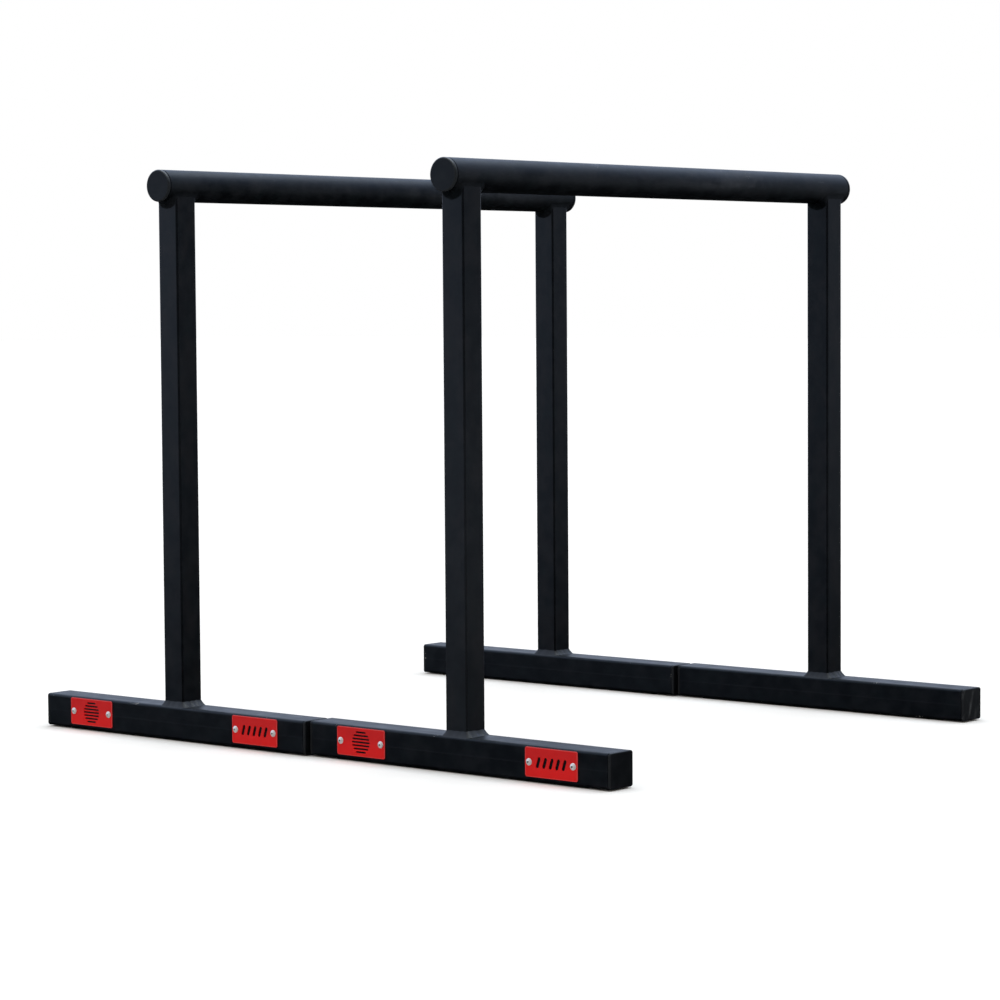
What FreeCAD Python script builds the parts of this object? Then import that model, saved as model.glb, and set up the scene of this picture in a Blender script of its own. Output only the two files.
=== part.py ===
import FreeCAD, Part
import math
import os

# A pair of tall parallette bars. Each one is a welded frame of steel tube: a round grip bar on two square
# uprights, each upright on a square foot that lies across the bar's direction. Sizes are in millimetres.
# X runs along the feet, Y along the bars and Z up from the floor. The origin is midway between the frames.

# Grip bar, a round tube, and the moulded plugs in its ends
bar_diameter = 48.3
bar_wall = 2.6
bar_tube_length = 958.0
bar_cap_thickness = 6.0
bar_cap_rim = 2.5

# Uprights, square tube, cut square at the foot and fish-mouthed under the bar
upright_width = 40.0
upright_wall = 2.0
upright_inner_corner = 1.0
upright_end_inset = 34.0
upright_height = 763.0
fit_up_gap = 0.3

# Feet, square tube, and the moulded plugs in their ends
foot_width = 50.0
foot_wall = 3.0
foot_inner_corner = 1.0
foot_tube_length = 550.0
foot_cap_thickness = 5.0
foot_cap_rim = 1.5

# The part of a plug that is pressed into a tube: a hollow core with thin fins round it
plug_depth = 20.0
plug_wall = 2.0
plug_inner_corner = 1.0
plug_core_gap = 1.6
plug_fin_thickness = 1.2
plug_fin_count = 3
plug_seat_gap = 0.3
plug_groove = 1.0

# Weld beads
base_weld_height = 8.0
base_weld_leg = 10.0
base_weld_shelf_share = 0.84
base_weld_bulge_shares = (0.48, 0.58)
saddle_weld_radius = 7.0
seam_tolerance = 0.001

# Rubber strips under the feet
strip_thickness = 2.0
strip_side_setback = 7.0
strip_end_setback = 45.0
strip_corner = 5.0

# Red sheet-metal plates on the front foot
plate_width = 93.0
plate_edge_margin = 4.25
plate_end_margin = 56.0
plate_rise = 2.0
plate_thickness = 1.5
plate_corner = 3.0
rivet_end_distance = 7.5

# Slots cut through the plates: a round field of level slots, and a row of leaning ones
field_edge_margin = 3.5
field_slot_width = 2.4
field_slot_pitch = 4.8
row_slot_length = 16.0
row_slot_width = 5.0
row_slot_count = 5
row_rivet_margin = 16.0
row_slot_lean = 18.0

# Blind rivets that hold the plates, with the broken mandrels that stay in them
rivet_diameter = 4.8
rivet_hole_clearance = 0.2
rivet_head_lip = 2.6
rivet_head_height = 3.2
rivet_head_rim = 0.8
rivet_bulb_swell = 1.2
rivet_bulb_length = 4.0
rivet_bulb_end_share = 0.8
mandrel_diameter = 2.7
mandrel_clearance = 0.1
mandrel_break_depth = 1.2
mandrel_head_lip = 0.75

# How the two frames stand: feet end to end, the right frame set back a little
frame_gap = 3.0
right_frame_setback = 7.0

# How far a cutting solid runs past the face that it cuts
overrun = 2.0

# Sizes that follow from the ones above
quarter_turn = 90.0
full_turn = 360.0
bar_radius = bar_diameter / 2
bar_bore_radius = bar_radius - bar_wall
upright_corner = upright_inner_corner + upright_wall
foot_bore = foot_width - 2 * foot_wall
foot_corner = foot_inner_corner + foot_wall
foot_length = foot_tube_length + 2 * foot_cap_thickness
foot_axis_height = strip_thickness + foot_width / 2
foot_top = strip_thickness + foot_width
bar_axis_height = foot_top + upright_height + bar_radius
rear_y = bar_tube_length / 2 - upright_end_inset
front_y = -rear_y
foot_face_y = front_y - foot_width / 2
plate_face_y = foot_face_y - plate_thickness
plate_height = foot_width - 2 * plate_edge_margin
plate_axis_height = foot_axis_height + plate_rise
plate_x = foot_length / 2 - plate_end_margin - plate_width / 2
rivet_spacing = plate_width - 2 * rivet_end_distance
rivet_radius = rivet_diameter / 2
rivet_grip = plate_thickness + foot_wall

x_axis = FreeCAD.Vector(1, 0, 0)
y_axis = FreeCAD.Vector(0, 1, 0)
z_axis = FreeCAD.Vector(0, 0, 1)
origin = FreeCAD.Vector(0, 0, 0)


def point(x, y, z):
    return FreeCAD.Vector(x, y, z)


def rounded_rectangle(width, depth, corner, height):
    """Closed wire about the Z axis at one height: four sides joined by quarter circles."""
    half_w = width / 2
    half_d = depth / 2
    edges = []
    for turn in range(4):
        across, along = (half_w, half_d) if turn % 2 == 0 else (half_d, half_w)
        mid_arc = corner * (1 - math.sqrt(0.5))
        side_start = point(across, corner - along, height)
        side_end = point(across, along - corner, height)
        arc_mid = point(across - mid_arc, along - mid_arc, height)
        arc_end = point(across - corner, along, height)
        for curve in (Part.LineSegment(side_start, side_end), Part.Arc(side_end, arc_mid, arc_end)):
            edge = curve.toShape()
            edge.rotate(origin, z_axis, turn * quarter_turn)
            edges.append(edge)
    return Part.Wire(edges)


def prism(width, depth, corner, bottom, top):
    """Upright block with rounded corners, from one height to another."""
    face = Part.Face(rounded_rectangle(width, depth, corner, bottom))
    return face.extrude(z_axis * (top - bottom))


def square_tube(width, inner_corner, wall, bottom, top):
    """Hollow square section with rolled corners, standing along Z."""
    bore_width = width - 2 * wall
    bore = prism(bore_width, bore_width, inner_corner, bottom - overrun, top + overrun)
    return prism(width, width, inner_corner + wall, bottom, top).cut(bore)


def moved(shape, x, y, z):
    return shape.translated(point(x, y, z))


def turned(shape, axis, degrees):
    return shape.rotated(origin, axis, degrees)


def revolved(profile):
    """Solid of revolution about Z of a closed chain of (radius, height) points.

    A straight step is its end point. A round step is a pair of points, the arc's middle and its end.
    """
    edges = []
    last = point(profile[0][0], 0, profile[0][1])
    for step in profile[1:] + profile[:1]:
        if isinstance(step[0], tuple):
            middle = point(step[0][0], 0, step[0][1])
            end = point(step[1][0], 0, step[1][1])
            edges.append(Part.Arc(last, middle, end).toShape())
        else:
            end = point(step[0], 0, step[1])
            edges.append(Part.LineSegment(last, end).toShape())
        last = end
    return Part.Face(Part.Wire(edges)).revolve(origin, z_axis, full_turn)


def plug_fin_heights():
    """Upper height of each fin on a plug's core, below the cap at zero, evenly shared over the depth."""
    pitch = plug_depth / (plug_fin_count + 1)
    return [-pitch * (index + 1) for index in range(plug_fin_count)]


def top_bar():
    start = point(0, -bar_tube_length / 2, bar_axis_height)
    outside = Part.makeCylinder(bar_radius, bar_tube_length, start, y_axis)
    bore_start = start - y_axis * overrun
    bore = Part.makeCylinder(bar_bore_radius, bar_tube_length + 2 * overrun, bore_start, y_axis)
    return outside.cut(bore)


def bar_end_cap():
    """Round plug on the Z axis: cap above zero, hollow finned core below it."""
    fin_radius = bar_bore_radius - plug_seat_gap
    core_radius = bar_bore_radius - plug_core_gap
    inner_radius = core_radius - plug_wall
    mid_arc = bar_cap_rim * (1 - math.sqrt(0.5))
    rim_middle = (bar_radius - mid_arc, bar_cap_thickness - mid_arc)
    rim_end = (bar_radius, bar_cap_thickness - bar_cap_rim)
    profile = [
        (0, bar_cap_thickness),
        (bar_radius - bar_cap_rim, bar_cap_thickness),
        (rim_middle, rim_end),
        (bar_radius, plug_groove),
        (bar_radius - plug_groove, 0),
        (core_radius, 0),
    ]
    for fin_top in plug_fin_heights():
        fin_bottom = fin_top - plug_fin_thickness
        profile.append((core_radius, fin_top))
        profile.append((fin_radius, fin_top))
        profile.append((fin_radius, fin_bottom))
        profile.append((core_radius, fin_bottom))
    profile.append((core_radius, -plug_depth))
    profile.append((inner_radius, -plug_depth))
    profile.append((inner_radius, 0))
    profile.append((0, 0))
    return revolved(profile)


def upright(y):
    """Square tube from the foot to the bar, its top cut to the bar's round."""
    tube = square_tube(upright_width, upright_inner_corner, upright_wall, foot_top, bar_axis_height)
    cope_length = upright_width + 2 * overrun
    cope_start = point(0, -cope_length / 2, bar_axis_height)
    cope = Part.makeCylinder(bar_radius + fit_up_gap, cope_length, cope_start, y_axis)
    return moved(tube.cut(cope), 0, y, 0)


def foot(y):
    half = foot_tube_length / 2
    tube = square_tube(foot_width, foot_inner_corner, foot_wall, -half, half)
    return moved(turned(tube, y_axis, quarter_turn), 0, y, foot_axis_height)


def rivet_places():
    """Centres of the rivets on the front foot, as (x, z) pairs."""
    offsets = (-rivet_spacing / 2, rivet_spacing / 2)
    return [(side * plate_x + offset, plate_axis_height) for side in (-1, 1) for offset in offsets]


def rivet_hole(x, z, depth):
    radius = rivet_radius + rivet_hole_clearance / 2
    start = point(x, plate_face_y - overrun, z)
    return Part.makeCylinder(radius, depth + overrun, start, y_axis)


def drilled_foot(y):
    """The front foot: the same tube with rivet holes through its front wall."""
    shape = foot(y)
    for x, z in rivet_places():
        shape = shape.cut(rivet_hole(x, z, rivet_grip + overrun))
    return shape


def foot_end_cap():
    """Square plug on the Z axis: rounded cap above zero, hollow finned core below it."""
    blank = prism(foot_width, foot_width, foot_corner, 0, foot_cap_thickness)
    front_edges = [edge for edge in blank.Edges if edge.BoundBox.ZMin > foot_cap_thickness / 2]
    cap = blank.makeFillet(foot_cap_rim, front_edges)
    back_edges = [edge for edge in cap.Edges if edge.BoundBox.ZMax < plug_groove / 2]
    cap = cap.makeChamfer(plug_groove, back_edges)
    core_width = foot_bore - 2 * plug_core_gap
    core = square_tube(core_width, plug_inner_corner, plug_wall, -plug_depth, 0)
    fin_width = foot_bore - 2 * plug_seat_gap
    hollow_width = core_width - 2 * plug_wall
    hollow = prism(hollow_width, hollow_width, plug_inner_corner, -plug_depth - overrun, 0)
    for fin_top in plug_fin_heights():
        fin = prism(fin_width, fin_width, foot_inner_corner, fin_top - plug_fin_thickness, fin_top)
        core = core.fuse(fin.cut(hollow))
    return cap.fuse(core).removeSplitter()


def base_weld(y):
    """Bulged fillet bead round an upright's base, its front and back toes on the foot's rolled corners.

    The blank runs a little below the toes, and the tube and the foot are then cut out of it.
    """
    shelf = (foot_width - upright_width) / 2
    leg_across = base_weld_shelf_share * shelf
    toe_run = max(0, leg_across - shelf + foot_corner)
    toe_drop = foot_corner - math.sqrt(foot_corner ** 2 - toe_run ** 2)
    bottom = foot_top - toe_drop - overrun
    top = foot_top + base_weld_height
    leg_share, height_share = base_weld_bulge_shares
    bulge_height = foot_top + height_share * base_weld_height
    sections = []
    for leg, height in ((1, bottom), (leg_share, bulge_height), (0, top)):
        width = upright_width + 2 * leg * base_weld_leg
        depth = upright_width + 2 * leg * leg_across
        corner = upright_corner + leg * leg_across
        sections.append(rounded_rectangle(width, depth, corner, height))
    bead = Part.makeLoft(sections, True, True)
    bead = bead.cut(prism(upright_width, upright_width, upright_corner, bottom - overrun, top + overrun))
    block_length = upright_width + 2 * base_weld_leg + 2 * overrun
    block = prism(foot_width, foot_width, foot_corner, -block_length / 2, block_length / 2)
    block = moved(turned(block, y_axis, quarter_turn), 0, 0, foot_axis_height)
    return moved(bead.cut(block).removeSplitter(), 0, y, 0)


def saddle_weld(y):
    """Concave fillet bead all round the fish mouth, in the corner between the upright's walls and the bar.

    It is worked out about the bar's axis, then lifted to the bar's height.
    """
    bar_end = upright_width / 2 + 2 * saddle_weld_radius
    tube_end = -bar_radius - 2 * saddle_weld_radius
    bar = Part.makeCylinder(bar_radius, 2 * bar_end, point(0, -bar_end, 0), y_axis)
    tube = prism(upright_width, upright_width, upright_corner, tube_end, 0)
    joined = bar.fuse(tube)
    seam = []
    for edge in joined.Edges:
        on_bar = all(abs(math.hypot(end.X, end.Z) - bar_radius) < seam_tolerance for end in edge.Vertexes)
        clear_of_ends = -bar_end < edge.BoundBox.YMin - seam_tolerance and edge.BoundBox.ZMax < 0
        if on_bar and clear_of_ends and edge.BoundBox.YMax + seam_tolerance < bar_end:
            seam.append(edge)
    bead = joined.makeFillet(saddle_weld_radius, seam).cut(bar).cut(tube)
    return moved(bead, 0, y, bar_axis_height)


def plate_slot(length, width, lean, x, z):
    """Cutter for one slot with round ends, its length leaning from level by an angle."""
    radius = width / 2
    half = length / 2 - radius
    outline = [
        Part.LineSegment(point(-half, -radius, 0), point(half, -radius, 0)),
        Part.Arc(point(half, -radius, 0), point(half + radius, 0, 0), point(half, radius, 0)),
        Part.LineSegment(point(half, radius, 0), point(-half, radius, 0)),
        Part.Arc(point(-half, radius, 0), point(-half - radius, 0, 0), point(-half, -radius, 0)),
    ]
    face = Part.Face(Part.Wire([edge.toShape() for edge in outline]))
    slot = moved(face.extrude(z_axis * (plate_thickness + 2 * overrun)), 0, 0, -overrun)
    slot = turned(turned(slot, z_axis, lean), x_axis, quarter_turn)
    return moved(slot, x, foot_face_y, z)


def blank_plate(x):
    """Rounded plate flat on the front of the front foot, drilled for its two rivets."""
    sheet = prism(plate_width, plate_height, plate_corner, 0, plate_thickness)
    sheet = moved(turned(sheet, x_axis, quarter_turn), x, foot_face_y, plate_axis_height)
    for offset in (-rivet_spacing / 2, rivet_spacing / 2):
        sheet = sheet.cut(rivet_hole(x + offset, plate_axis_height, plate_thickness + overrun))
    return sheet


def round_cut_plate():
    """Plate whose level slots fill a circle."""
    sheet = blank_plate(-plate_x)
    field_radius = plate_height / 2 - field_edge_margin
    rows = int((field_radius - field_slot_width) / field_slot_pitch)
    for row in range(-rows, rows + 1):
        rise = row * field_slot_pitch
        chord = 2 * math.sqrt(field_radius ** 2 - rise ** 2)
        sheet = sheet.cut(plate_slot(chord, field_slot_width, 0, -plate_x, plate_axis_height + rise))
    return sheet


def row_cut_plate():
    """Plate with one row of leaning slots."""
    sheet = blank_plate(plate_x)
    row_width = rivet_spacing - 2 * row_rivet_margin
    lean = quarter_turn - row_slot_lean
    for index in range(row_slot_count):
        x = plate_x - row_width / 2 + row_width * index / (row_slot_count - 1)
        sheet = sheet.cut(plate_slot(row_slot_length, row_slot_width, lean, x, plate_axis_height))
    return sheet


def set_rivet():
    """Set blind rivet on the Z axis: domed head above zero, shank and blind bulb below, bored through."""
    head_radius = rivet_radius + rivet_head_lip
    bore_radius = mandrel_diameter / 2 + mandrel_clearance
    crown = rivet_head_height - rivet_head_rim
    dome_radius = (head_radius ** 2 + crown ** 2) / (2 * crown)

    def dome_height(radius):
        return rivet_head_height - dome_radius + math.sqrt(dome_radius ** 2 - radius ** 2)

    middle_radius = (bore_radius + head_radius) / 2
    blind_end = -rivet_grip - rivet_bulb_length
    bulb_radius = rivet_radius + rivet_bulb_swell
    return revolved([
        (bore_radius, dome_height(bore_radius)),
        ((middle_radius, dome_height(middle_radius)), (head_radius, rivet_head_rim)),
        (head_radius, 0),
        (rivet_radius, 0),
        (rivet_radius, -rivet_grip),
        (bulb_radius, -rivet_grip),
        (bulb_radius * rivet_bulb_end_share, blind_end),
        (bore_radius, blind_end),
    ])


def mandrel():
    """Broken mandrel on the Z axis, left in the rivet with its head against the blind end."""
    stem_radius = mandrel_diameter / 2
    head_radius = stem_radius + mandrel_head_lip
    blind_end = -rivet_grip - rivet_bulb_length
    diagonal = head_radius * math.sqrt(0.5)
    return revolved([
        (0, rivet_head_height - mandrel_break_depth),
        (stem_radius, rivet_head_height - mandrel_break_depth),
        (stem_radius, blind_end),
        (head_radius, blind_end),
        ((diagonal, blind_end - diagonal), (0, blind_end - head_radius)),
    ])


def at_rivets(fastener):
    """One copy of a fastener at every rivet place, its Z axis turned to face the front."""
    facing = turned(fastener, x_axis, quarter_turn)
    return Part.makeCompound([moved(facing, x, plate_face_y, z) for x, z in rivet_places()])


def floor_strip(y):
    length = foot_length - 2 * strip_end_setback
    width = foot_width - 2 * strip_side_setback
    strip = prism(length, width, strip_corner, 0, strip_thickness)
    return moved(strip, 0, y, 0)


def frame_pieces(outer_side):
    """Every piece of one frame about its own middle. The side of its outer foot ends is -1 or 1."""
    bar_cap = bar_end_cap()
    foot_cap = foot_end_cap()
    bar_end = bar_tube_length / 2
    pieces = {
        "top_bar": top_bar(),
        "front_bar_cap": moved(turned(bar_cap, x_axis, quarter_turn), 0, -bar_end, bar_axis_height),
        "rear_bar_cap": moved(turned(bar_cap, x_axis, -quarter_turn), 0, bar_end, bar_axis_height),
        "front_foot": drilled_foot(front_y),
        "rear_foot": foot(rear_y),
        "round_cut_plate": round_cut_plate(),
        "row_cut_plate": row_cut_plate(),
        "plate_rivets": at_rivets(set_rivet()),
        "rivet_mandrels": at_rivets(mandrel()),
    }
    for place, y in (("front", front_y), ("rear", rear_y)):
        pieces[place + "_upright"] = upright(y)
        pieces[place + "_base_weld"] = base_weld(y)
        pieces[place + "_saddle_weld"] = saddle_weld(y)
        pieces[place + "_floor_strip"] = floor_strip(y)
        for end, side in (("outer", outer_side), ("inner", -outer_side)):
            cap = turned(foot_cap, y_axis, side * quarter_turn)
            pieces[f"{place}_{end}_foot_cap"] = moved(cap, side * foot_tube_length / 2, y, foot_axis_height)
    return pieces


os.makedirs("parts", exist_ok=True)
for side_name, side in (("left", -1), ("right", 1)):
    frame_x = side * (foot_length + frame_gap) / 2
    frame_y = side * right_frame_setback / 2
    for name, shape in frame_pieces(side).items():
        moved(shape, frame_x, frame_y, 0).exportStep(f"parts/{side_name}_{name}.step")
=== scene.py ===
import math

import bpy
import numpy as np
from mathutils import Matrix, Vector


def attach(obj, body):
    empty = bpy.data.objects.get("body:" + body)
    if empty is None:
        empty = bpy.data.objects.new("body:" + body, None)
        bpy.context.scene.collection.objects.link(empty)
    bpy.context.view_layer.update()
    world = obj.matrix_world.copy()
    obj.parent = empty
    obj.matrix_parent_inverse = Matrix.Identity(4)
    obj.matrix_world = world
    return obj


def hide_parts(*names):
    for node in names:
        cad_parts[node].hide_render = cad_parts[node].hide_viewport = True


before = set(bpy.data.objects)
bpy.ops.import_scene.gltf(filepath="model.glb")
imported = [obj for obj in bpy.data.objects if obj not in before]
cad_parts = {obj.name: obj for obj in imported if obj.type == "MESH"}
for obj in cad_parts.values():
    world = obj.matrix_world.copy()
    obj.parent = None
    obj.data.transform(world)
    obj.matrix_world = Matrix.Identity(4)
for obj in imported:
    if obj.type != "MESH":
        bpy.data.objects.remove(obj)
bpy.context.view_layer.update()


# Feet
# Two lengths of 50 mm square steel tube to a frame, lying across the bar's direction on the floor.
# The welded frame is powder coated satin black. Dust lies on the tops, and a few knocks show on
# the corners.

frame_x = 0.2815
frame_setback = 0.0035
row_y = 0.445
corners = [
    (side, row, sign, way)
    for side, sign in (("left", -1), ("right", 1))
    for row, way in (("front", -1), ("rear", 1))
]
foot_half_width = 0.025
foot_corner = 0.004
foot_corner_middle = 0.0022
foot_half_tube = 0.275
foot_end_wear = 0.006
foot_axis_z = 0.027
foot_dust = 0.55
seam_half_width = 0.0003
seam_reach = 0.0011
coat_black = (0.0010, 0.0014, 0.0025, 1)
coat_faded = (0.0050, 0.0053, 0.0068, 1)
coat_green = (0.0026, 0.0046, 0.0056, 1)
coat_dust_and_highlight = (0.037, 0.041, 0.049, 1)
coat_chip = (0.30, 0.30, 0.29, 1)
coat_shine = 0.33
coat_shine_tint = (0.79, 0.90, 1.0, 1)
millimetre = 0.001


class Tone:
    """One output socket of a finish. Arithmetic with numbers or other tones adds Math nodes."""

    def __init__(self, finish, socket):
        self.finish = finish
        self.socket = socket

    def maths(self, operation, *values):
        inputs = dict(zip(("Value", "Value_001"), values))
        return self.finish.node("ShaderNodeMath", {"operation": operation}, inputs)

    def __add__(self, other):
        return self.maths("ADD", self, other)

    __radd__ = __add__

    def __sub__(self, other):
        return self.maths("SUBTRACT", self, other)

    def __rsub__(self, other):
        return self.maths("SUBTRACT", other, self)

    def __mul__(self, other):
        return self.maths("MULTIPLY", self, other)

    def __abs__(self):
        return self.maths("ABSOLUTE", self)

    def sign(self):
        return self.maths("SIGN", self)

    def least(self, other):
        return self.maths("MINIMUM", self, other)

    def most(self, other):
        return self.maths("MAXIMUM", self, other)

    def between(self, low, high):
        """Smooth step from 0 at low to 1 at high."""
        inputs = {"Value": self, "From Min": low, "From Max": high}
        return self.finish.node("ShaderNodeMapRange", {"interpolation_type": "SMOOTHSTEP"}, inputs)


class Finish:
    """The node tree of a material, or of the world, and its shader. One method adds any node."""

    def __init__(self, owner, shader="Principled BSDF"):
        owner.use_nodes = True
        self.material = owner
        self.tree = owner.node_tree
        self.shader = self.tree.nodes[shader]

    def feed(self, node, inputs):
        for key, value in inputs.items():
            socket = next(s for s in node.inputs if s.enabled and key in (s.identifier, s.name))
            if isinstance(value, Tone):
                self.tree.links.new(value.socket, socket)
            else:
                socket.default_value = value

    def node(self, kind, settings, inputs, output=None):
        made = self.tree.nodes.new(kind)
        for key, value in settings.items():
            setattr(made, key, value)
        self.feed(made, inputs)
        shown = [s for s in made.outputs if s.enabled and output in (None, s.identifier, s.name)]
        return Tone(self, shown[0])

    def place(self):
        return self.node("ShaderNodeTexCoord", {}, {}, "Object")

    def axes(self):
        """The three object coordinates, each as its own tone."""
        place = self.place()
        return [self.node("ShaderNodeSeparateXYZ", {}, {"Vector": place}, axis) for axis in "XYZ"]

    def facing_up(self):
        normal = self.node("ShaderNodeNewGeometry", {}, {}, "Normal")
        return self.node("ShaderNodeSeparateXYZ", {}, {"Vector": normal}, "Z")

    def stretched(self, x, y, z):
        """Object coordinates scaled axis by axis, for grain that runs one way."""
        inputs = {"Vector": self.place(), "Scale": (x, y, z)}
        return self.node("ShaderNodeMapping", {"vector_type": "POINT"}, inputs)

    def noise(self, scale, detail=2.0, roughness=0.5, place=None):
        inputs = {
            "Scale": scale,
            "Detail": detail,
            "Roughness": roughness,
            "Vector": place or self.place(),
        }
        return self.node("ShaderNodeTexNoise", {}, inputs)

    def blend(self, share, first, second):
        """Colour that goes from first to second as the share goes from 0 to 1."""
        inputs = {"Factor": share, "A": first, "B": second}
        return self.node("ShaderNodeMix", {"data_type": "RGBA"}, inputs)

    def relief(self, height_mm):
        """Normal bent by a height given in millimetres."""
        inputs = {"Height": height_mm, "Distance": millimetre, "Strength": 1.0}
        return self.node("ShaderNodeBump", {}, inputs)

    def shade(self, inputs):
        self.feed(self.shader, inputs)


def finish_named(name):
    return Finish(bpy.data.materials.new(name))


def coat_nodes(finish, names):
    for name in names:
        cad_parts[name].material_slots[0].material = finish.material


def at_corners(piece):
    """Names of the nodes that a piece has at the front and rear of both frames."""
    return [f"{side}_{row}_{piece}" for side, row, _, _ in corners]


def on_sides(piece):
    """Names of the nodes that a piece has on the left and right frame."""
    return [f"{side}_{piece}" for side in ("left", "right")]


def powder_coat(finish, wear, dust):
    """Satin black powder coat: cloudy black, dust where it faces up, rubs and chips where worn.

    Chips break through only in the few places where a slow noise lets them, so most edges stay
    whole.
    """
    cloud = finish.noise(42.0, 4.0, 0.62)
    tinge = finish.noise(30.0, 2.0, 0.5)
    patches = finish.noise(36.0, 6.0, 0.68)
    knocks = finish.noise(15.0, 2.0, 0.5).between(0.60, 0.68)
    chips = (finish.noise(330.0, 3.0, 0.6) + wear * knocks * 0.21).between(0.79, 0.83)
    settled = finish.facing_up().between(0.2, 0.95) * patches.between(0.36, 0.74) * dust
    rubbed = wear.between(0.25, 1.0) * patches.between(0.44, 0.70)
    faded = finish.blend(tinge.between(0.40, 0.60), coat_faded, coat_green)
    colour = finish.blend(cloud.between(0.36, 0.66), coat_black, faded)
    colour = finish.blend(settled.most(rubbed * 0.22), colour, coat_dust_and_highlight)
    colour = finish.blend(chips, colour, coat_chip)
    peel = finish.noise(760.0, 2.0, 0.5)
    waves = finish.noise(26.0, 2.0, 0.5)
    relief = peel * 0.014 + waves * 0.10 - chips * 0.05
    return {
        "Base Color": colour,
        "Roughness": 0.30 + cloud * 0.20 + settled * 0.15 - rubbed * 0.06 + chips * 0.2,
        "Specular IOR Level": coat_shine,
        "Specular Tint": coat_shine_tint,
    }, relief


def frame_axes(finish):
    """Distance from a frame's middle along the feet, from a row's middle along the bars, height."""
    x, y, z = finish.axes()
    across = abs(abs(x) - frame_x)
    along = abs(abs(y - x.sign() * frame_setback) - row_y)
    return across, along, z


foot_coat = finish_named("foot_powder_coat")
across, along, height = frame_axes(foot_coat)
off_axis = abs(height - foot_axis_z)
foot_edge = along.least(off_axis).between(
    foot_half_width - foot_corner, foot_half_width - foot_corner_middle)
foot_end = across.between(foot_half_tube - foot_end_wear, foot_half_tube)
inputs, relief = powder_coat(foot_coat, foot_edge.most(foot_end), foot_dust)
drawn = foot_coat.noise(1.0, 4.0, 0.6, foot_coat.stretched(9.0, 260.0, 260.0))
top_streaks = drawn.between(0.40, 0.68) * foot_coat.facing_up().between(0.6, 0.98)
seam = 1 - off_axis.between(seam_half_width, seam_reach)
# Dust streaks the tops, and the seam line is painted lighter as a highlight.
paler = (top_streaks * 0.30).most(seam * 0.10)
inputs["Base Color"] = foot_coat.blend(paler, inputs["Base Color"], coat_dust_and_highlight)
inputs["Roughness"] = inputs["Roughness"] + top_streaks * 0.12
inputs["Normal"] = foot_coat.relief(relief + seam * 0.05 + drawn * 0.012)
foot_coat.shade(inputs)
coat_nodes(foot_coat, at_corners("foot"))


# Uprights
# Square steel tube, 40 mm, cut square at the foot and fish-mouthed under the bar.
# They carry the same powder coat over fine drawing lines, dusty on the flats, with painted shade
# darkening the corners. The nearest one is lighter towards its foot.

upright_half_width = 0.020
upright_corner = 0.003
upright_corner_middle = 0.001
upright_dust = 0.4
coat_film = (0.0125, 0.0096, 0.0098, 1)
upright_coat = finish_named("upright_powder_coat")
across, along, height = frame_axes(upright_coat)
upright_edge = across.least(along).between(
    upright_half_width - upright_corner, upright_half_width - upright_corner_middle)
inputs, relief = powder_coat(upright_coat, upright_edge * 0.5, upright_dust)
film = upright_coat.noise(1.0, 4.0, 0.62, upright_coat.stretched(34.0, 34.0, 20.0))
filmed = film.between(0.40, 0.66) * (1 - upright_edge) * 0.40
colour = upright_coat.blend(filmed, inputs["Base Color"], coat_film)
# Painted shade: the rounded corners are darkened in the colour itself.
colour = upright_coat.blend(upright_edge * 0.7, colour, coat_black)
x, y, _ = upright_coat.axes()
# The nearest upright is made lighter towards its foot, in uneven patches.
nearest = x.between(0.0, 0.1) * (1 - y.between(-0.1, 0.0))
low_patches = 0.7 + upright_coat.noise(22.0, 4.0, 0.6) * 0.6
lighter_low_on_nearest = nearest * (1 - height.between(0.25, 0.75)) * low_patches
drawn = upright_coat.noise(1.0, 3.0, 0.6, upright_coat.stretched(900.0, 900.0, 14.0))
inputs["Base Color"] = upright_coat.blend(lighter_low_on_nearest * 0.14, colour, coat_dust_and_highlight)
inputs["Roughness"] = inputs["Roughness"] - upright_edge * 0.16
inputs["Normal"] = upright_coat.relief(relief + drawn * 0.006)
upright_coat.shade(inputs)
coat_nodes(upright_coat, at_corners("upright"))


# Base welds
# A fillet bead run by hand round each upright on its foot, its front and back toes on the foot's
# rolled corners. It was coated with the frame; dust lies on it in patches, and its upward slopes
# are greyer.

foot_top = 0.052
base_bead_height = 0.0078
base_bead_side_leg = 0.0076
base_bead_shelf_leg = 0.0044
base_bead_corner = 0.0075
base_bead_hollow = 0.16
base_bead_rows = 18
base_toe_wander = 0.0007
base_height_wander = 0.05
base_swelling = 0.0001
base_ripple = 0.00005
base_root = 0.0006
bead_bite = 0.0004
bead_scallops = 22
bead_dust = 0.9
bead_grey = (0.033, 0.035, 0.039, 1)
sharp_turn = math.radians(50)


def tube_loop(half_x, half_y, corner, flat_steps=48, arc_steps=16):
    """Rounded rectangle as points and outward normals: a corner's centre plus radius times normal.

    The centre slides from one corner to the next along each flat, and the normal turns by a
    quarter at each corner.
    """
    centres = np.array([(1, 1), (-1, 1), (-1, -1), (1, -1)]) * (half_x - corner, half_y - corner)
    slide = np.concatenate([np.linspace(0, 1, flat_steps, endpoint=False), np.ones(arc_steps)])
    slide = slide[:, None]
    bend = np.concatenate([np.zeros(flat_steps), np.linspace(0, 1, arc_steps, endpoint=False)])
    turn = (np.arange(4)[:, None] + bend) * math.pi / 2
    normals = np.stack([np.cos(turn), np.sin(turn)], axis=-1)
    middles = np.roll(centres, 1, axis=0)[:, None] * (1 - slide) + centres[:, None] * slide
    return (middles + corner * normals).reshape(-1, 2), normals.reshape(-1, 2)


def smooth_piece(name, mesh):
    """Piece from a mesh, smooth, sharp only where its faces turn by a wide angle."""
    mesh.polygons.foreach_set("use_smooth", np.ones(len(mesh.polygons), bool))
    mesh.set_sharp_from_angle(angle=sharp_turn)
    piece = bpy.data.objects.new(name, mesh)
    bpy.context.scene.collection.objects.link(piece)
    return piece


def mesh_piece(name, points, faces):
    """Smooth piece from arrays of points and of faces."""
    mesh = bpy.data.meshes.new(name)
    mesh.from_pydata(points.tolist(), [], faces.tolist())
    return smooth_piece(name, mesh)


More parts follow.
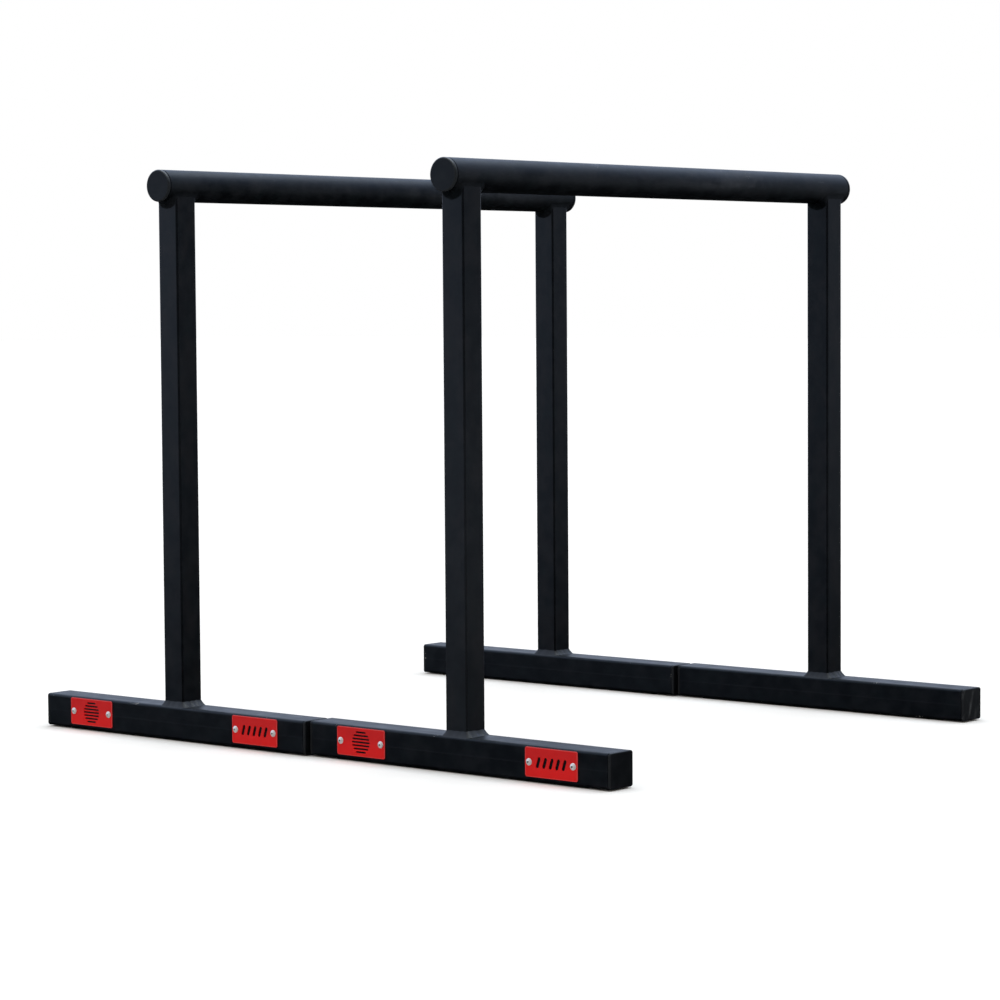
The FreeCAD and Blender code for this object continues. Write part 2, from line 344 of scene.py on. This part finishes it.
def ring_piece(name, grid):
    """Closed ring of quads over a grid that joins up both ways: rows round the section."""
    rows, columns = grid.shape[:2]
    here = np.arange(rows * columns).reshape(rows, columns)
    beside = np.roll(here, -1, axis=1)
    quads = [here, beside, np.roll(beside, -1, axis=0), np.roll(here, -1, axis=0)]
    return mesh_piece(name, grid.reshape(-1, 3), np.stack(quads, axis=-1).reshape(-1, 4))


def bead_ripple(outline, share, seed):
    """Ripple and swelling of a hand-run bead, for points along its outline and across its slope.

    The ripple is a row of scallops, drifting in pitch and bowed across the slope. The swelling is
    a sum of sines. Every wave fits a whole number of times round the outline.
    """
    run = np.cumsum(np.linalg.norm(np.roll(outline, -1, axis=0) - outline, axis=1))
    turn = 2 * math.pi * run / run[-1]
    bow = 1.6 * (share - 0.4) ** 2
    drift = np.sin(3 * turn + seed)
    scallop = np.abs(np.sin(bead_scallops * turn + 0.9 * drift + math.pi * bow)) ** 1.5
    swell = 0.5 * np.sin(2 * turn + 2.1 * seed) + 0.5 * np.sin(5 * turn + 1.3 * seed)
    return scallop - 0.6, swell + 0.6 * np.sin(13 * turn + 1.2 * drift)


def slope_between(top, bend, foot, share):
    """Parabola from the top to the foot of a slope, drawn towards its bend."""
    return top * (1 - share) ** 2 + bend * 2 * share * (1 - share) + foot * share ** 2


def base_bead(name, x, y, seed):
    """Bead round an upright: parabolas from its outline down to a wider rounded outline, the toe.

    The toe drops where the foot's rolled corner falls away under it. Ripples stand out along the
    slope's normal.
    """
    outline, normal = tube_loop(upright_half_width, upright_half_width, upright_corner)
    toe_half = upright_half_width + base_bead_side_leg, upright_half_width + base_bead_shelf_leg
    toe = tube_loop(*toe_half, base_bead_corner)[0]
    share = np.linspace(0, 1, base_bead_rows)[:, None]
    ripple, swell = bead_ripple(outline, share, seed)
    sideways = normal[:, 0] ** 4
    toe = toe + normal * (sideways * base_toe_wander * swell)[:, None]
    over = np.clip(np.abs(toe[:, 1]) - (foot_half_width - foot_corner), 0, foot_corner)
    toe_z = foot_top - foot_corner + np.sqrt(foot_corner ** 2 - over ** 2)
    high_z = foot_top + base_bead_height * (1 + base_height_wander * swell)
    high = np.column_stack([outline, high_z])
    low = np.column_stack([toe, toe_z])
    seam = np.column_stack([outline, np.full(len(outline), foot_top)])
    bend = seam * base_bead_hollow + (high + low) * (1 - base_bead_hollow) / 2
    out = np.column_stack([normal, np.ones(len(outline))]) / math.sqrt(2)
    stand = (base_swelling + base_swelling * sideways) * swell + base_ripple * ripple
    stand = (np.sin(math.pi * share) * stand)[:, :, None]
    skin = slope_between(high, bend, low, share[:, :, None]) + out * stand
    inward = np.column_stack([normal, np.zeros(len(outline))]) * bead_bite
    root = (0, 0, base_root)
    grid = np.concatenate([skin, [low - inward - root, seam - inward - root, high - inward]])
    return ring_piece(name, (grid + (x, y, 0))[::-1])


bead_coat = finish_named("weld_bead_powder_coat")
upward = bead_coat.facing_up().between(0.1, 0.9)
inputs, relief = powder_coat(bead_coat, upward * 0.5, bead_dust)
spatter = bead_coat.noise(900.0, 2.0, 0.5).between(0.62, 0.80)
uneven = 0.72 + bead_coat.noise(150.0, 3.0, 0.6) * 0.5
# The bead is made greyer on its upward slopes, in uneven patches.
greyer_upward = bead_coat.facing_up().between(0.05, 0.55) * uneven
inputs["Base Color"] = bead_coat.blend(greyer_upward, inputs["Base Color"], bead_grey)
inputs["Normal"] = bead_coat.relief(relief + spatter * 0.06)
bead_coat.shade(inputs)
for side, row, sign, way in corners:
    place = (sign * frame_x, way * row_y + sign * frame_setback)
    bead = base_bead(f"{side}_{row}_base_bead", *place, seed=1.7 * sign + way)
    bead.data.materials.append(bead_coat.material)
    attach(bead, f"{side}_frame")
    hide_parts(f"{side}_{row}_base_weld")


# Grip bars
# Round steel tube, 48.3 mm, laid in the fish mouths of both uprights.
# Hands and chalk dull the coat along the middle of the bar, knocks have left small pale chips on
# its top, and its cut ends are darkened by dirt and by painted shade in the joint to the cap.

bar_radius = 0.02415
bar_axis_z = 0.83915
bar_half_tube = 0.479
bar_dust = 0.5
grip_y = 0.19
joint_line = 0.0003
joint_fade = 0.0022
bar_chalk = (0.029, 0.038, 0.058, 1)
bar_bloom = (0.040, 0.042, 0.050, 1)
bar_scratch = (0.10, 0.105, 0.115, 1)


def past_bar_end(finish):
    """Distance along the bar from the cut end of its tube, outward."""
    x, y, _ = finish.axes()
    return abs(y - x.sign() * frame_setback) - bar_half_tube


bar_coat = finish_named("bar_powder_coat")
cut_edge = past_bar_end(bar_coat).between(-joint_fade, -joint_line)
handled = bar_coat.facing_up().between(-0.3, 0.9)
inputs, relief = powder_coat(bar_coat, handled * 0.8, bar_dust)
gripped = 1 - abs(bar_coat.axes()[1] - grip_y).between(0.03, 0.20)
chalk = bar_coat.noise(1.0, 5.0, 0.6, bar_coat.stretched(60.0, 16.0, 60.0))
chalked = chalk.between(0.38, 0.72) * handled * (0.16 + gripped * 0.42)
flecks = bar_coat.noise(95.0, 4.0, 0.62).between(0.45, 0.70)
bloom = bar_coat.noise(1.0, 3.0, 0.55, bar_coat.stretched(34.0, 13.0, 34.0)).between(0.40, 0.62)
worn = (bloom * 0.8 + flecks * 0.4) * bar_coat.facing_up().between(-0.9, 0.2)
scratch = bar_coat.noise(1.0, 3.0, 0.6, bar_coat.stretched(300.0, 28.0, 300.0))
scratched = scratch.between(0.66, 0.72) * handled * 0.25
colour = bar_coat.blend(chalked, inputs["Base Color"], bar_chalk)
colour = bar_coat.blend(worn * (0.20 + gripped * 0.34), colour, bar_bloom)
colour = bar_coat.blend(scratched, colour, bar_scratch)
# Dirt and painted shade: the colour goes black close to the cut end, in the joint to the cap.
inputs["Base Color"] = bar_coat.blend(cut_edge * 0.9, colour, coat_black)
inputs["Roughness"] = inputs["Roughness"] + chalked * 0.12 + worn * 0.06 + cut_edge * 0.40
inputs["Normal"] = bar_coat.relief(relief)
bar_coat.shade(inputs)
coat_nodes(bar_coat, on_sides("top_bar"))


# Saddle welds
# A slightly hollow fillet bead in the corner between each upright and the bar, full at the front
# and back walls and thin along the sides, where wall and bar almost run into each other.

saddle_fillet = 0.0102
saddle_hollow = 0.45
saddle_rows = 16
saddle_leg_wander = 0.03
saddle_swelling = 0.0004
saddle_ripple = 0.0002


def saddle_bead(name, x, y, seed):
    """Fillet round a fish mouth: a parabola from wall to bar, pulled part of the way to the seam.

    Its legs are the fillet's radius times the tangent of half the angle between the two surfaces'
    normals.
    """
    outline, normal = tube_loop(upright_half_width, upright_half_width, upright_corner)
    share = np.linspace(0, 1, saddle_rows)[:, None]
    ripple, swell = bead_ripple(outline, share, seed)
    turn = np.arccos(np.clip(normal[:, 0] * outline[:, 0] / bar_radius, -1, 1))
    leg = saddle_fillet * np.tan(turn / 2) * (1 + saddle_leg_wander * swell)
    slope = outline[:, 0] * normal[:, 0] / np.sqrt(bar_radius ** 2 - outline[:, 0] ** 2)
    seam_z = bar_axis_z - np.sqrt(bar_radius ** 2 - outline[:, 0] ** 2)
    toe = outline + normal * (leg / np.sqrt(1 + slope ** 2))[:, None]
    toe_z = bar_axis_z - np.sqrt(bar_radius ** 2 - toe[:, 0] ** 2)
    wall = np.column_stack([outline, seam_z - leg])
    seam = np.column_stack([outline, seam_z])
    bar = np.column_stack([toe, toe_z])
    out = np.column_stack([normal, -np.ones(len(outline))]) / math.sqrt(2)
    stand = np.sin(math.pi * share) * (saddle_swelling + saddle_ripple * ripple)
    stand = (stand * leg / saddle_fillet)[:, :, None]
    bend = seam * saddle_hollow + (wall + bar) * (1 - saddle_hollow) / 2
    skin = slope_between(wall, bend, bar, share[:, :, None]) + out * stand
    inward = np.column_stack([normal, np.zeros(len(outline))]) * bead_bite
    buried = seam - inward + (0, 0, bead_bite)
    return ring_piece(name, np.concatenate([skin, buried[None]]) + (x, y, 0))


for side, row, sign, way in corners:
    place = (sign * frame_x, way * row_y + sign * frame_setback)
    bead = saddle_bead(f"{side}_{row}_saddle_bead", *place, seed=0.9 * sign + 2.3 * way)
    bead.data.materials.append(bead_coat.material)
    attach(bead, f"{side}_frame")
    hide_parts(f"{side}_{row}_saddle_weld")


# Bar end caps
# Moulded black plugs pressed into the bar's ends, with a flat face and a rounded rim.
# The moulding has a fine spark-eroded grain and a dull sheen. Its rim is a little rubbed all round,
# and on top a painted highlight makes it paler; neither reaches the joint to the tube.

bar_cap_rim_inner = 0.0214
bar_cap_rim_outer = 0.0224
plastic_black = (0.0036, 0.0042, 0.0054, 1)
plastic_grey = (0.0070, 0.0078, 0.0096, 1)
plastic_rubbed_and_highlit = (0.062, 0.067, 0.072, 1)
plastic_shine_tint = (0.80, 0.91, 1.0, 1)


def moulded_plastic(finish, scale, dullness, shine, rubbed):
    """Black moulded plastic: even grain, greyer and smoother where it is rubbed. The rubbed share
    also carries painted highlights on rims and edges.
    """
    grain = finish.noise(1500.0, 2.0, 0.6)
    smear = finish.noise(scale, 4.0, 0.6)
    colour = finish.blend(smear.between(0.40, 0.72), plastic_black, plastic_grey)
    finish.shade({
        "Base Color": finish.blend(rubbed, colour, plastic_rubbed_and_highlit),
        "Roughness": dullness + smear * 0.16 + grain * 0.06 - rubbed * 0.4,
        "Specular IOR Level": shine,
        "Specular Tint": plastic_shine_tint,
        "Normal": finish.relief(grain * 0.02 + smear * 0.04),
    })


bar_cap_plastic = finish_named("bar_cap_plastic")
across, _, height = frame_axes(bar_cap_plastic)
above_axis = height - bar_axis_z
cap_rim = (across * across + above_axis * above_axis).between(
    bar_cap_rim_inner ** 2, bar_cap_rim_outer ** 2)
proud = cap_rim * past_bar_end(bar_cap_plastic).between(2 * joint_line, joint_fade)
# A little rub all round the rim, and on its upward side a painted highlight in the rubbed colour.
rubbed_and_highlit_rim = proud * (0.16 + bar_cap_plastic.facing_up().between(0.1, 0.7) * 0.70)
moulded_plastic(bar_cap_plastic, 45.0, dullness=0.44, shine=0.31, rubbed=rubbed_and_highlit_rim)
coat_nodes(bar_cap_plastic, at_corners("bar_cap"))


# Foot end caps
# Square moulded plugs in the ends of the feet, with a rounded face and a fine joint to the tube.
# Their edges are scuffed and carry a painted highlight, and the far right one is greyer in slanted
# streaks.

cap_edge_inner = 0.0022
cap_edge_outer = 0.0004
streak_lean = -0.30
streak_size = (0.12, 0.0075, 0.040)
foot_cap_plastic = finish_named("foot_cap_plastic")
_, along, height = frame_axes(foot_cap_plastic)
cap_edge = along.most(abs(height - foot_axis_z)).between(
    foot_half_width - cap_edge_inner, foot_half_width - cap_edge_outer)
x, y, _ = foot_cap_plastic.axes()
slanted = foot_cap_plastic.node("ShaderNodeMapping", {"vector_type": "TEXTURE"}, {
    "Vector": foot_cap_plastic.place(),
    "Rotation": (streak_lean, 0, 0),
    "Scale": streak_size,
})
streaks = foot_cap_plastic.noise(1.0, 3.0, 0.6, slanted).between(0.52, 0.74)
far_right = x.between(0.50, 0.55) * y.between(0.0, 0.1)
# The edges get a light rub plus a painted highlight; the far right cap is greyer in slanted
# streaks.
rubbed = (cap_edge * 0.18).most(far_right * (0.11 + streaks * 0.6))
moulded_plastic(foot_cap_plastic, 70.0, dullness=0.34, shine=0.17, rubbed=rubbed)
coat_nodes(foot_cap_plastic, at_corners("inner_foot_cap") + at_corners("outer_foot_cap"))


# Floor strips
# Flat strips of black rubber stuck under the feet, so that the steel doesn't mark the floor.
# They are matt, and a little grey with dust.

rubber_black = (0.006, 0.006, 0.006, 1)
rubber_dusty = (0.014, 0.014, 0.014, 1)
strip_rubber = finish_named("strip_rubber")
crumb = strip_rubber.noise(1100.0, 3.0, 0.6)
dusty = strip_rubber.noise(60.0, 4.0, 0.6).between(0.42, 0.74)
strip_rubber.shade({
    "Base Color": strip_rubber.blend(dusty, rubber_black, rubber_dusty),
    "Roughness": 0.78 + crumb * 0.15,
    "Specular IOR Level": 0.25,
    "Normal": strip_rubber.relief(crumb * 0.05),
})
coat_nodes(strip_rubber, at_corners("floor_strip"))


# Plates
# Red sheet-metal plates, 1.5 mm, laser cut with plain slots and riveted flat on the front feet.
# The coat rolls over the cut edges, and a thin pale line is painted along them: partly the
# thinner coat there, partly a painted highlight.

plate_half_width = 0.0465
plate_half_height = 0.02075
plate_corner = 0.003
plate_corner_steps = 8
plate_thickness = 0.0015
plate_edge = 0.0005
plate_middle_x = 0.1775
plate_middle_z = 0.029
plate_back_y = -0.470
rivet_offset = 0.039
rivet_hole_radius = 0.0025
rivet_hole_steps = 14
field_radius = 0.01725
field_pitch = 0.0048
field_slot_width = 0.0024
row_slot_length = 0.016
row_slot_width = 0.005
row_slot_lean = 72
row_reach = 0.023
thin_coat_inner = 0.0016
thin_coat_outer = 0.0004
red_shaded = (0.58, 0.0040, 0.0050, 1)
red_bounce_lit = (0.82, 0.0040, 0.0040, 1)
red_grimy = (0.16, 0.006, 0.007, 1)
red_thin_coat_highlight = (0.86, 0.11, 0.11, 1)


def rounded_slot(length, width, lean, x, y, steps=10):
    """Outline of a slot: two half circles joined by straight sides, leaning by an angle."""
    turn = np.radians(np.concatenate([np.linspace(-90, 90, steps), np.linspace(90, 270, steps)]))
    u = np.repeat([1, -1], steps) * (length - width) / 2 + np.cos(turn) * width / 2
    v = np.sin(turn) * width / 2
    c, s = math.cos(math.radians(lean)), math.sin(math.radians(lean))
    return np.column_stack([x + c * u - s * v, y + s * u + c * v])


def rivet_hole(x):
    """Round hole: a slot as long as it is wide."""
    return rounded_slot(2 * rivet_hole_radius, 2 * rivet_hole_radius, 0, x, 0, rivet_hole_steps)


def plate_blank():
    """Outline of a plate, a rectangle with quarter circles at its corners, and its rivet holes."""
    quarters = [np.linspace(start, start + 90, plate_corner_steps) for start in (0, 90, 180, 270)]
    turn = np.radians(np.concatenate(quarters))
    corner_x = np.repeat([1, -1, -1, 1], plate_corner_steps) * (plate_half_width - plate_corner)
    corner_y = np.repeat([1, 1, -1, -1], plate_corner_steps) * (plate_half_height - plate_corner)
    outline = np.column_stack([
        corner_x + np.cos(turn) * plate_corner,
        corner_y + np.sin(turn) * plate_corner,
    ])
    return [outline, rivet_hole(-rivet_offset), rivet_hole(rivet_offset)]


def round_field():
    """Level slots whose lengths are the chords of a circle."""
    rises = field_pitch * np.arange(-3, 4)
    chords = [2 * math.sqrt(field_radius ** 2 - rise ** 2) for rise in rises]
    return [rounded_slot(c, field_slot_width, 0, 0, rise) for c, rise in zip(chords, rises)]


def slot_row():
    """Five equal slots side by side, leaning to the right."""
    middles = np.linspace(-row_reach, row_reach, 5)
    return [rounded_slot(row_slot_length, row_slot_width, row_slot_lean, x, 0) for x in middles]


def cut_plate(name, loops, x, y):
    """Flat sheet filled between closed outlines, with rounded edges, stood up to face the front."""
    curve = bpy.data.curves.new(name, "CURVE")
    curve.dimensions = "2D"
    curve.fill_mode = "BOTH"
    for loop in loops:
        spline = curve.splines.new("POLY")
        spline.points.add(len(loop) - 1)
        flat = np.column_stack([loop, np.zeros(len(loop)), np.ones(len(loop))])
        spline.points.foreach_set("co", flat.ravel())
        spline.use_cyclic_u = True
    curve.bevel_depth = plate_edge
    curve.bevel_resolution = 3
    curve.offset = -plate_edge
    curve.extrude = plate_thickness / 2 - plate_edge
    drawn = bpy.data.objects.new(name, curve)
    bpy.context.scene.collection.objects.link(drawn)
    settled = drawn.evaluated_get(bpy.context.evaluated_depsgraph_get())
    mesh = bpy.data.meshes.new_from_object(settled)
    bpy.data.objects.remove(drawn)
    mesh.name = name
    stand = Matrix.Rotation(math.pi / 2, 4, "X")
    mesh.transform(Matrix.Translation((x, y - plate_thickness / 2, plate_middle_z)) @ stand)
    return smooth_piece(name, mesh)


plate_red = finish_named("plate_red_coat")
mottle = plate_red.noise(60.0, 4.0, 0.6)
peel = plate_red.noise(900.0, 2.0, 0.5)
grime = plate_red.noise(240.0, 4.0, 0.65)
across, _, height = frame_axes(plate_red)
# Painted light: the red is brighter towards the bottom, for the floor's bounce from below, mixed
# with a random mottle.
low_down = 1 - height.between(0.012, 0.044)
mottle_and_bounce_light = (mottle - 0.5) * 0.8 + low_down
# Along the outline the red is lighter: partly thin coat, partly a painted edge highlight.
to_side = abs(across - plate_middle_x).between(
    plate_half_width - thin_coat_inner, plate_half_width - thin_coat_outer)
to_edge = abs(height - plate_middle_z).between(
    plate_half_height - thin_coat_inner, plate_half_height - thin_coat_outer)
thin_coat_and_edge_highlight = to_side.most(to_edge) * (0.75 + mottle * 0.5)
colour = plate_red.blend(mottle_and_bounce_light.between(-0.4, 1.3), red_shaded, red_bounce_lit)
colour = plate_red.blend(grime.between(0.60, 0.80) * 0.35, colour, red_grimy)
plate_red.shade({
    "Base Color": plate_red.blend(thin_coat_and_edge_highlight * 0.5, colour, red_thin_coat_highlight),
    "Roughness": 0.36 + mottle * 0.10 + grime * 0.06,
    "Specular IOR Level": 0.18,
    "Normal": plate_red.relief(peel * 0.012 + mottle * 0.05),
})
for side, sign in (("left", -1), ("right", 1)):
    for kind, way, cuts in (("round", -1, round_field()), ("row", 1, slot_row())):
        plate_x = sign * frame_x + way * plate_middle_x
        plate_y = plate_back_y + sign * frame_setback
        sheet = cut_plate(f"{side}_{kind}_cut_sheet", plate_blank() + cuts, plate_x, plate_y)
        sheet.data.materials.append(plate_red.material)
        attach(sheet, f"{side}_frame")
        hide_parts(f"{side}_{kind}_cut_plate")


# Rivets
# Aluminium blind rivets, two to a plate, their domed heads pulled tight by the setting tool.
# The tool leaves fine scratches round the dome, and the metal has a pale oxide bloom.

aluminium_clean = (0.90, 0.90, 0.91, 1)
aluminium_bloom = (0.96, 0.96, 0.97, 1)
rivet_metal = finish_named("rivet_aluminium")
fine = rivet_metal.noise(2200.0, 3.0, 0.6)
dull = rivet_metal.noise(500.0, 3.0, 0.6)
rivet_metal.shade({
    "Base Color": rivet_metal.blend(dull.between(0.3, 0.7), aluminium_clean, aluminium_bloom),
    "Metallic": 0.30 + dull * 0.2,
    "Roughness": 0.16 + dull * 0.14,
    "Normal": rivet_metal.relief(fine * 0.006),
})
coat_nodes(rivet_metal, on_sides("plate_rivets"))


# Rivet mandrels
# Steel pins left inside the rivets, snapped off below the top of the dome.
# The break is dull, grey and grainy, and has started to darken.

steel_dark = (0.05, 0.048, 0.046, 1)
steel_grey = (0.16, 0.16, 0.16, 1)
mandrel_steel = finish_named("mandrel_steel")
broken = mandrel_steel.noise(2600.0, 4.0, 0.7)
mandrel_steel.shade({
    "Base Color": mandrel_steel.blend(broken.between(0.35, 0.65), steel_dark, steel_grey),
    "Metallic": 0.9,
    "Roughness": 0.45 + broken * 0.25,
    "Normal": mandrel_steel.relief(broken * 0.12),
})
coat_nodes(mandrel_steel, on_sides("rivet_mandrels"))


# Floor and light
# A white studio floor under a broad soft light from straight above, with a white surround.
# Cards that only reflections see keep the black coat black: a dark one below, a graded one all
# round.

floor_reach = 40.0
floor_lift = 0.13
contact_reach = 0.05
card_drop = 0.004
card_near = (0.006, 0.007, 0.008, 1)
card_far = (0.23, 0.25, 0.28, 1)
wall_radius = 9.0
wall_bottom = -0.01
wall_top = 12.0
wall_steps = 48
wall_dark = (0.082, 0.089, 0.099, 1)
window_low = (0.80, 0.89, 1.10, 1)
window_high = (0.70, 0.88, 1.26, 1)
surround_light = (0.52, 0.48, 0.43, 1)
white = (1, 1, 1, 1)


def stage_piece(name, points, faces, material):
    piece = mesh_piece(name, points, faces)
    piece.data.materials.append(material)
    return piece


def for_reflections_only(piece):
    piece.visible_camera = False
    piece.visible_diffuse = False
    piece.visible_transmission = False
    piece.visible_shadow = False


def glowing(finish, colour):
    """Card that gives off an even light and takes none."""
    finish.shade({
        "Base Color": (0, 0, 0, 1),
        "Specular IOR Level": 0.0,
        "Emission Color": colour,
        "Emission Strength": 1.0,
    })


square = np.array([(-1, -1, 0), (1, -1, 0), (1, 1, 0), (-1, 1, 0)]) * floor_reach
square_face = np.array([(0, 1, 2, 3)])
floor_white = finish_named("floor_white")
seen = floor_white.node("ShaderNodeLightPath", {}, {}, "Is Camera Ray")
# For the camera the floor also glows a little, to read white. The glow fades where the feet shelter
# it: a painted contact shadow.
open_floor = floor_white.node(
    "ShaderNodeAmbientOcclusion", {"samples": 8}, {"Distance": contact_reach}, "AO")
floor_white.shade({
    "Base Color": (0.96, 0.96, 0.96, 1),
    "Roughness": 0.9,
    "Specular IOR Level": 0.0,
    "Emission Color": seen * open_floor,
    "Emission Strength": floor_lift,
})
floor = stage_piece("floor", square, square_face, floor_white.material)
floor.visible_glossy = False

floor_card = finish_named("floor_card")
far = floor_card.node(
    "ShaderNodeVectorMath", {"operation": "LENGTH"}, {"Vector": floor_card.place()}, "Value")
x, y, _ = floor_card.axes()
beyond = (y * 0.76 - x * 0.65 - far * 0.3).between(0.0, 0.9)
lit = far.between(0.6, 4.2) * (1 - beyond * 0.9)
glowing(floor_card, floor_card.blend(lit, card_near, card_far))
card = stage_piece("floor_card", square - (0, 0, card_drop), square_face, floor_card.material)
for_reflections_only(card)

wall_card = finish_named("wall_card")
x, y, z = wall_card.axes()
behind = (y * 0.43 - x * 0.90).between(-6.0, 8.0) + z.between(2.0, 6.0) * 0.10
window = wall_card.blend(z.between(1.0, 6.0), window_low, window_high)
glowing(wall_card, wall_card.blend(behind, wall_dark, window))
turn = np.linspace(0, 2 * math.pi, wall_steps, endpoint=False)
ring = np.column_stack([np.cos(turn), np.sin(turn)]) * wall_radius
levels = [np.full(wall_steps, level) for level in (wall_bottom, wall_top)]
walls = np.concatenate([np.column_stack([ring, level]) for level in levels])
here = np.arange(wall_steps)
beside = np.roll(here, -1)
wall_faces = np.column_stack([here, beside, beside + wall_steps, here + wall_steps])
for_reflections_only(stage_piece("wall_card", walls, wall_faces, wall_card.material))

studio = Finish(bpy.data.worlds.new("studio"), "Background")
bpy.context.scene.world = studio.material
camera_ray, glossy_ray, through_ray = [
    studio.node("ShaderNodeLightPath", {}, {}, f"Is {kind} Ray")
    for kind in ("Camera", "Glossy", "Transmission")
]
shown = camera_ray.most(glossy_ray).most(through_ray)
studio.shade({"Color": studio.blend(shown, surround_light, white), "Strength": 1.0})

overhead = bpy.data.lights.new("overhead", "SUN")
overhead.energy = 2.0
overhead.angle = math.radians(60)
overhead.color = (0.84, 0.92, 1.0)
lamp = bpy.data.objects.new("overhead", overhead)
lamp.rotation_euler = (math.radians(-12), math.radians(-4), 0)
bpy.context.scene.collection.objects.link(lamp)


# Camera
# It stands at chest height in front of the right frame, a long lens turned a little down.
# Its three turns are in radians, and its focal length is in widths of the picture.

camera_turn = 0.703424
camera_dip = 0.062144
camera_roll = -0.006928
camera_place = (3.226230, -3.834691, 0.663436)
focal_widths = 3.202124
right = Vector((math.cos(camera_turn), math.sin(camera_turn), 0))
ahead = Vector((
    -math.sin(camera_turn) * math.cos(camera_dip),
    math.cos(camera_turn) * math.cos(camera_dip),
    -math.sin(camera_dip),
))
above = right.cross(ahead)
rolled_right = right * math.cos(camera_roll) + above * math.sin(camera_roll)
rolled_above = above * math.cos(camera_roll) - right * math.sin(camera_roll)
lens = bpy.data.cameras.new("camera")
lens.sensor_width = 36.0
lens.lens = focal_widths * lens.sensor_width
lens.clip_end = 200.0
camera = bpy.data.objects.new("camera", lens)
basis = Matrix((rolled_right, rolled_above, -ahead)).transposed().to_4x4()
camera.matrix_world = Matrix.Translation(camera_place) @ basis
bpy.context.scene.collection.objects.link(camera)
bpy.context.scene.camera = camera
bpy.context.scene.view_settings.view_transform = "Standard"
